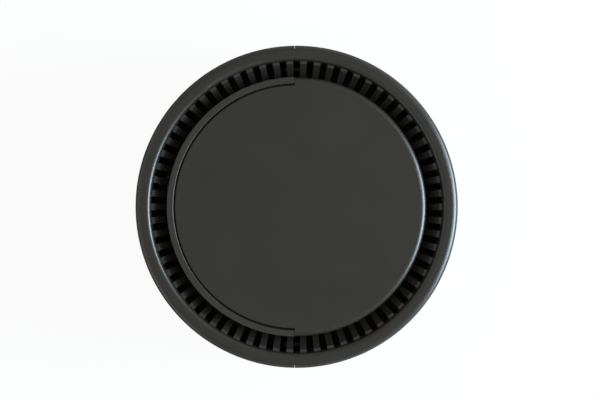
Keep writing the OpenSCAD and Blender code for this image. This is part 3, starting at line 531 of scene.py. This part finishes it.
# The battery is a flat pouch of aluminium laminate, slightly wrinkled, with amber insulating tape folded
# over the end that carries its tabs.
tape_w = 5.5 * MM
tape_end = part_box("battery")[0].x + tape_w


def pouch(place):
    end = place.split()[0].rise(tape_end + 0.1 * MM, tape_end - 0.1 * MM)
    wrinkle = speckle(place.stretched(0.5, 1, 1), 3.5 * MM, 3.0)
    emboss = pores(place, 0.5 * MM)
    foil = wrinkle.mix((0.52, 0.53, 0.55), (0.70, 0.70, 0.71))
    return {
        "Base Color": end.mix(foil, (0.52, 0.22, 0.03)),
        "Metallic": 0.95 - end * 0.95,
        "Roughness": 0.26 + emboss * 0.1 + wrinkle * 0.06,
        "Normal": relief(wrinkle * 0.8 + emboss * 0.2, 0.12 * MM),
    }


dress(finish("pouch foil", pouch), "battery")


# The pad under the battery is a thin sheet of closed-cell foam with adhesive on both faces. It is flat
# where it is stuck, and its cut edges are a little soft and uneven.
def round_edges(shape, edges, radius, steps):
    """Rounds edges of a bmesh in so many steps."""
    bmesh.ops.bevel(
        shape, geom=edges, offset=radius, offset_type="OFFSET", segments=steps, profile=0.5,
        affect="EDGES", material=-1,
    )


pad_corner = 2 * MM
pad_edge = 0.16 * MM
pad_low, pad_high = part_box("battery_pad")
pad = bmesh.new()
bmesh.ops.create_cube(pad, size=1)
bmesh.ops.scale(pad, vec=pad_high - pad_low, verts=pad.verts)
bmesh.ops.translate(pad, vec=(pad_low + pad_high) / 2, verts=pad.verts)
upright = [edge for edge in pad.edges if abs(edge.verts[0].co.z - edge.verts[1].co.z) > pad_edge]
round_edges(pad, upright, pad_corner, steps=6)
rims = [edge for edge in pad.edges if abs(edge.calc_face_angle()) > math.radians(60)]
round_edges(pad, rims, pad_edge, steps=3)
bmesh.ops.recalc_face_normals(pad, faces=pad.faces)


def foamed(colour, cell):
    """The recipe of a cell foam: pale walls between pores, which are painted dark as painted shade in the
    cells.
    """

    def recipe(place):
        wall = pores(place, cell)
        big = pores(place, cell * 2.3)
        height = wall.rise(0.1, 0.6) * 0.6 + big.rise(0.05, 0.5) * 0.4
        return {
            # Painted shade: the colour darkens where the surface is low, in the pores between the cell
            # walls.
            "Base Color": height.mix(tint(colour, 0.35), tint(colour, 1.25)),
            "Roughness": 0.82 + height * 0.12,
            "Normal": relief(height, cell * 0.35),
        }

    return recipe


pad_grey = (0.16, 0.16, 0.17)
battery_pad = piece("battery_foam", pad, finish("closed-cell foam", foamed(pad_grey, cell=0.22 * MM)))
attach(battery_pad, "base")
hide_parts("battery_pad")


# Two stranded leads run from the battery to the control board, in red and black soft plastic insulation.
# They are smooth, with a faint print of the strands inside.
leads_low, leads_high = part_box("battery_leads")
between_leads = (leads_low.y + leads_high.y) / 2


def insulation(place):
    first = place.split()[1].rise(between_leads - 0.05 * MM, between_leads + 0.05 * MM)
    strand = speckle(place.stretched(0.3, 1, 1), 0.5 * MM)
    return {
        "Base Color": first.mix((0.014, 0.014, 0.015), (0.46, 0.022, 0.016)),
        "Roughness": 0.34 + strand * 0.2,
        "Normal": relief(strand, 0.03 * MM),
    }


dress(finish("lead insulation", insulation), "battery_leads")

# The control board carries two black chips, a dark nylon plug for the leads and the flat cable's socket.
# The moulded packages are matt, with bright tinned legs along the foot of the chips.
plug_h = 3.12 * MM
chip_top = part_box("board_parts")[1].z - plug_h
leg_h = 0.32 * MM


def packages(place):
    out, across, up = place.split()
    nylon = up.rise(chip_top - 0.05 * MM, chip_top + 0.05 * MM)
    foot = out.rise(board_high.x + leg_h + 0.02 * MM, board_high.x + leg_h - 0.02 * MM)
    legs = stripes(across, 0.8 * MM).rise(0.4, 0.6) * foot * (1 - nylon)
    grit = speckle(place, 0.2 * MM, 3.0)
    body = nylon.mix((0.018, 0.018, 0.019), (0.030, 0.028, 0.026))
    return {
        "Base Color": legs.mix(body, (0.72, 0.72, 0.70)),
        "Metallic": legs,
        "Roughness": 0.5 + grit * 0.2 - legs * 0.25,
        "Normal": relief(grit, 0.015 * MM),
    }


dress(finish("chip packages", packages), "board_parts")


# The charging socket is a folded steel shell, plated in black nickel, round a black contact tongue. The
# shell is drawn lengthwise, and plugs have rubbed the plating off at its mouth.
socket_low, socket_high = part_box("charge_socket")
socket_mid = (socket_low + socket_high) / 2
socket_wall = 0.5 * MM
scuff_l = 0.8 * MM


def folded_steel(place):
    out, across, up = place.split()
    off = across - socket_mid.y
    side = off.math("ABSOLUTE", off)
    lift = up - socket_mid.z
    height = lift.math("ABSOLUTE", lift)
    wide = (socket_high.y - socket_low.y) / 2 - socket_wall
    tall = (socket_high.z - socket_low.z) / 2 - socket_wall
    tongue = side.rise(wide, wide - 0.1 * MM) * height.rise(tall, tall - 0.1 * MM)
    drawn = speckle(place.stretched(0.1, 1, 1), 0.12 * MM)
    scuff = out.rise(socket_low.x + scuff_l, socket_low.x) * speckle(place, 0.4 * MM)
    plating = scuff.mix((0.045, 0.045, 0.048), (0.56, 0.56, 0.56))
    return {
        "Base Color": tongue.mix(plating, (0.02, 0.02, 0.02)),
        "Metallic": 1 - tongue,
        "Roughness": 0.2 + drawn * 0.14 + scuff * 0.3,
        "Normal": relief(drawn, 0.008 * MM),
    }


dress(finish("socket steel", folded_steel), "charge_socket")


# The push switch is a small black block with a blackened steel plate on its face, and its stem is a turned
# peg of black acetal that the button presses.
plate_t = 0.35 * MM
plate_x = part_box("push_switch")[0].x + plate_t


def switch_block(place):
    plate = place.split()[0].rise(plate_x + 0.04 * MM, plate_x - 0.04 * MM)
    grit = speckle(place, 0.18 * MM, 3.0)
    return {
        "Base Color": plate.mix((0.007, 0.007, 0.008), (0.045, 0.045, 0.044)),
        "Metallic": plate * 0.8,
        "Roughness": 0.68 - plate * 0.26 + grit * 0.14,
        "Normal": relief(grit, 0.012 * MM),
    }


def acetal(place):
    turning = stripes(place.split()[0], 0.11 * MM)
    cloud = speckle(place, 0.9 * MM)
    return {
        "Base Color": cloud.mix((0.014, 0.014, 0.015), (0.028, 0.028, 0.029)),
        "Roughness": 0.32 + turning * 0.14,
        "Normal": relief(turning, 0.006 * MM),
    }


dress(finish("switch block", switch_block), "push_switch")
dress(finish("acetal", acetal), "switch_stem")

# The status light is a tiny black package with a yellow phosphor window, and the light pipe before it is a
# turned rod of smoked acrylic, frosted on its outer end.
light_low, light_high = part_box("status_light")
light_mid = (light_low + light_high) / 2
pipe_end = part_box("light_pipe")[0].x
window_r = 0.34 * MM
window_blur = 0.02 * MM


def light_package(place):
    window = place.off_centre(light_mid).rise((window_r + window_blur) ** 2, (window_r - window_blur) ** 2)
    grit = speckle(place, 0.1 * MM, 3.0)
    return {
        "Base Color": window.mix((0.020, 0.020, 0.021), (0.80, 0.58, 0.08)),
        "Roughness": 0.3 + grit * 0.2,
        "Normal": relief(grit, 0.006 * MM),
    }


def smoked_rod(place):
    frost = place.split()[0].rise(pipe_end + 0.3 * MM, pipe_end + 0.1 * MM)
    ripple = speckle(place, 0.6 * MM)
    return {
        "Base Color": ripple.mix((0.22, 0.22, 0.22), (0.30, 0.30, 0.29)),
        "Roughness": 0.06 + frost * 0.4 + ripple * 0.04,
        "Normal": relief(ripple, 0.01 * MM),
    }


dress(finish("light package", light_package), "status_light")
dress(finish("smoked acrylic", smoked_rod, Transmission_Weight=1.0, IOR=1.49), "light_pipe")

# The power button is moulded from the housing's plastic with a finer grain. Fingers have polished the
# middle of its face.
button_low, button_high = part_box("power_button")
button_mid = (button_low + button_high) / 2
touch_r = 2.6 * MM
polish_r = 0.8 * MM


def touched(place):
    worn = place.off_centre(button_mid).rise(touch_r ** 2, polish_r ** 2)
    grain = speckle(place, 0.2 * MM, 3.0)
    return {
        "Base Color": grain.mix(tint(housing_grey, 0.8), tint(housing_grey, 1.25)),
        "Roughness": 0.46 - worn * 0.16 + grain * 0.08,
        "Normal": relief(grain, 0.01 * MM),
    }


dress(finish("button plastic", touched), "power_button")


# Two pairs of disc magnets hold the halves together. They are nickel-plated and bright, with fine scratches
# across the faces that meet.
def nickel(place):
    scratch = speckle(place.stretched(1, 0.12, 1), 0.12 * MM)
    cloud = speckle(place, 2 * MM)
    return {
        "Base Color": cloud.mix((0.58, 0.56, 0.52), (0.70, 0.68, 0.63)),
        "Roughness": 0.12 + cloud * 0.1 + scratch.rise(0.55, 0.7) * 0.2,
        "Normal": relief(scratch, 0.004 * MM),
    }


dress(finish("nickel plating", nickel, Metallic=1.0), "left_magnets", "right_magnets")

# The drawer's tray is moulded in the inner plastic, rubbed lighter along its runners. The cartridge's two
# end caps are cast in a soft grey compound that also glues the pleats.
tray_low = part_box("filter_tray")[0].z
runner_h = 0.6 * MM


def runner(place):
    low = place.split()[2].rise(tray_low + runner_h, tray_low)
    grain = speckle(place, 0.4 * MM, 3.0)
    rub = speckle(place.stretched(0.06, 1, 1), 0.5 * MM)
    worn = low * rub
    return {
        "Base Color": (grain * 0.4 + worn * 0.6).mix(tint(inner_grey, 0.85), tint(inner_grey, 2.2)),
        "Roughness": 0.44 + grain * 0.1 - worn * 0.14,
        "Normal": relief(grain, 0.012 * MM),
    }


def cast(place):
    flow = speckle(place, 6 * MM, 4.0)
    grit = speckle(place, 0.25 * MM, 3.0)
    return {
        "Base Color": (flow * 0.6 + grit * 0.4).mix((0.17, 0.18, 0.19), (0.27, 0.28, 0.29)),
        "Roughness": 0.52 + grit * 0.16,
        "Normal": relief(flow * 0.6 + grit * 0.4, 0.05 * MM),
    }


dress(finish("tray plastic", runner), "filter_tray")
dress(finish("cast caps", cast), "lower_cap", "upper_cap")


# The carbon sleeve is a strip of open foam charged with carbon grains, bent to a ring and butted. Its edges
# are soft and slightly uneven.
same_spot = 0.001 * MM


def soft_ring(inner_r, outer_r, low_z, high_z, rounding, unevenness):
    """A ring of soft rectangular section: rounded edges and a slightly wavy surface."""
    steps = 144
    corner_steps = 4
    side_cuts = 5
    wave = 2.2 * MM
    ring = bmesh.new()
    across = Matrix.Diagonal((outer_r - inner_r, high_z - low_z, 1, 1))
    stand = Matrix.Rotation(math.pi / 2, 4, "X")
    middle = Matrix.Translation(((inner_r + outer_r) / 2, 0, (low_z + high_z) / 2))
    bmesh.ops.create_grid(ring, x_segments=1, y_segments=1, size=0.5, matrix=middle @ stand @ across)
    bmesh.ops.bevel(
        ring, geom=ring.verts[:], offset=rounding, offset_type="OFFSET", segments=corner_steps, profile=0.5,
        affect="VERTICES", material=-1,
    )
    bmesh.ops.delete(ring, geom=ring.faces[:], context="FACES_ONLY")
    long_edges = [edge for edge in ring.edges if edge.calc_length() > 2 * rounding]
    bmesh.ops.subdivide_edges(ring, edges=long_edges, cuts=side_cuts)
    bmesh.ops.spin(
        ring, geom=ring.verts[:] + ring.edges[:], cent=(0, 0, 0), axis=(0, 0, 1), angle=2 * math.pi,
        steps=steps, use_merge=True,
    )
    bmesh.ops.remove_doubles(ring, verts=ring.verts, dist=same_spot)
    bmesh.ops.recalc_face_normals(ring, faces=ring.faces)
    ring.normal_update()
    for vert in ring.verts:
        vert.co += vert.normal * (unevenness * (noise.noise(vert.co / wave) - 1) / 2)
    return ring


carbon_low, carbon_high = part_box("carbon_sleeve")
carbon_t = 2 * MM
carbon_r = carbon_high.x
sleeve = soft_ring(
    carbon_r - carbon_t, carbon_r, carbon_low.z, carbon_high.z, rounding=0.3 * MM, unevenness=0.12 * MM
)
carbon_black = (0.022, 0.022, 0.023)
carbon = piece("carbon_foam", sleeve, finish("carbon foam", foamed(carbon_black, cell=0.45 * MM)))
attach(carbon, "drawer")
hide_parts("carbon_sleeve")

# The foam seal is a flat ring of open-cell foam glued to the upper cap. It stands a little proud and closes
# the gap to the fan deck.
seal_low, seal_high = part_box("foam_seal")
seal_w = 5 * MM
seal_r = seal_high.x
seal = soft_ring(
    seal_r - seal_w, seal_r, seal_low.z, seal_high.z, rounding=0.5 * MM, unevenness=0.1 * MM
)
seal_grey = (0.12, 0.12, 0.125)
gasket = piece("seal_foam", seal, finish("seal foam", foamed(seal_grey, cell=0.4 * MM)))
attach(gasket, "drawer")
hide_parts("foam_seal")

# The filter paper is one long strip of pleated glass-fibre paper, joined to a ring and potted in both caps.
# Sixty pleats stand almost even; each fold has a small radius, which takes a little off its tip.
pleats = 60
paper_t = 0.4 * MM
fold_r = 0.3 * MM
fold_play = 0.2 * MM
tip_loss = 0.17 * MM
carbon_gap = 0.25 * MM
paper_low, paper_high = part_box("pleated_paper")
fold_out = paper_high.x + tip_loss
fold_in = carbon_r + paper_t + carbon_gap
random.seed(11)
paper = bmesh.new()
zigzag = bmesh.ops.create_circle(paper, segments=2 * pleats, radius=fold_out)["verts"]
for count, corner in enumerate(zigzag):
    reach = (fold_in if count % 2 else fold_out) + random.uniform(-fold_play, 0)
    corner.co = corner.co.normalized() * reach
    corner.co.z = paper_low.z
strip = bmesh.ops.extrude_edge_only(paper, edges=paper.edges[:])["geom"]
upper = [part for part in strip if isinstance(part, bmesh.types.BMVert)]
bmesh.ops.translate(paper, vec=(0, 0, paper_high.z - paper_low.z), verts=upper)
folds = [edge for edge in paper.edges if edge.verts[0].co.z != edge.verts[1].co.z]
round_edges(paper, folds, fold_r, steps=3)
bmesh.ops.recalc_face_normals(paper, faces=paper.faces)
bmesh.ops.solidify(paper, geom=paper.faces[:], thickness=paper_t)


def fibrous(place):
    fibre = speckle(place.stretched(1, 1, 0.25), 0.18 * MM, 4.0)
    cloud = speckle(place, 2.5 * MM)
    return {
        "Base Color": (fibre * 0.6 + cloud * 0.4).mix((0.52, 0.51, 0.47), (0.80, 0.79, 0.75)),
        "Roughness": 0.86 + fibre * 0.1,
        "Normal": relief(fibre, 0.04 * MM),
    }


pleated = piece("filter_paper", paper, finish("glass-fibre paper", fibrous))
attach(pleated, "drawer")
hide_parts("pleated_paper")

# The net round the pleats is welded from black plastic strands: upright ones inside and hoops outside, with
# square openings that a finger can feel.
strand_r = 0.13 * MM
strand_sides = 6
weld = 0.2 * strand_r
uprights = 154
hoops = 9
hoop_steps = 128
net_low, net_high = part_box("outer_mesh")
hoop_path = net_high.x - strand_r
upright_path = hoop_path - 2 * strand_r + weld
net = bmesh.new()
net_mid = (net_low.z + net_high.z) / 2
bmesh.ops.create_cone(
    net, cap_ends=True, segments=strand_sides, radius1=strand_r, radius2=strand_r,
    depth=net_high.z - net_low.z, matrix=Matrix.Translation((upright_path, 0, net_mid)),
)
bmesh.ops.spin(
    net, geom=net.verts[:] + net.edges[:] + net.faces[:], cent=(0, 0, 0), axis=(0, 0, 1),
    angle=2 * math.pi * (uprights - 1) / uprights, steps=uprights - 1, use_duplicate=True,
)
for count in range(hoops):
    level = net_low.z + strand_r + (net_high.z - net_low.z - 2 * strand_r) * count / (hoops - 1)
    upended = Matrix.Translation((hoop_path, 0, level)) @ Matrix.Rotation(math.pi / 2, 4, "X")
    section = bmesh.ops.create_circle(net, segments=strand_sides, radius=strand_r, matrix=upended)["verts"]
    ends = list({edge for vert in section for edge in vert.link_edges})
    bmesh.ops.spin(
        net, geom=section + ends, cent=(0, 0, 0), axis=(0, 0, 1), angle=2 * math.pi, steps=hoop_steps,
        use_merge=True,
    )
bmesh.ops.remove_doubles(net, verts=net.verts, dist=same_spot)
bmesh.ops.recalc_face_normals(net, faces=net.faces)


def drawn_strand(place):
    draw = speckle(place, 0.5 * MM, 3.0)
    return {
        "Base Color": draw.mix((0.012, 0.012, 0.013), (0.034, 0.034, 0.035)),
        "Roughness": 0.36 + draw * 0.2,
        "Normal": relief(draw, 0.02 * MM),
    }


netting = piece("filter_net", net, finish("net plastic", drawn_strand), sharp_above=math.radians(70))
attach(netting, "drawer")
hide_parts("outer_mesh")
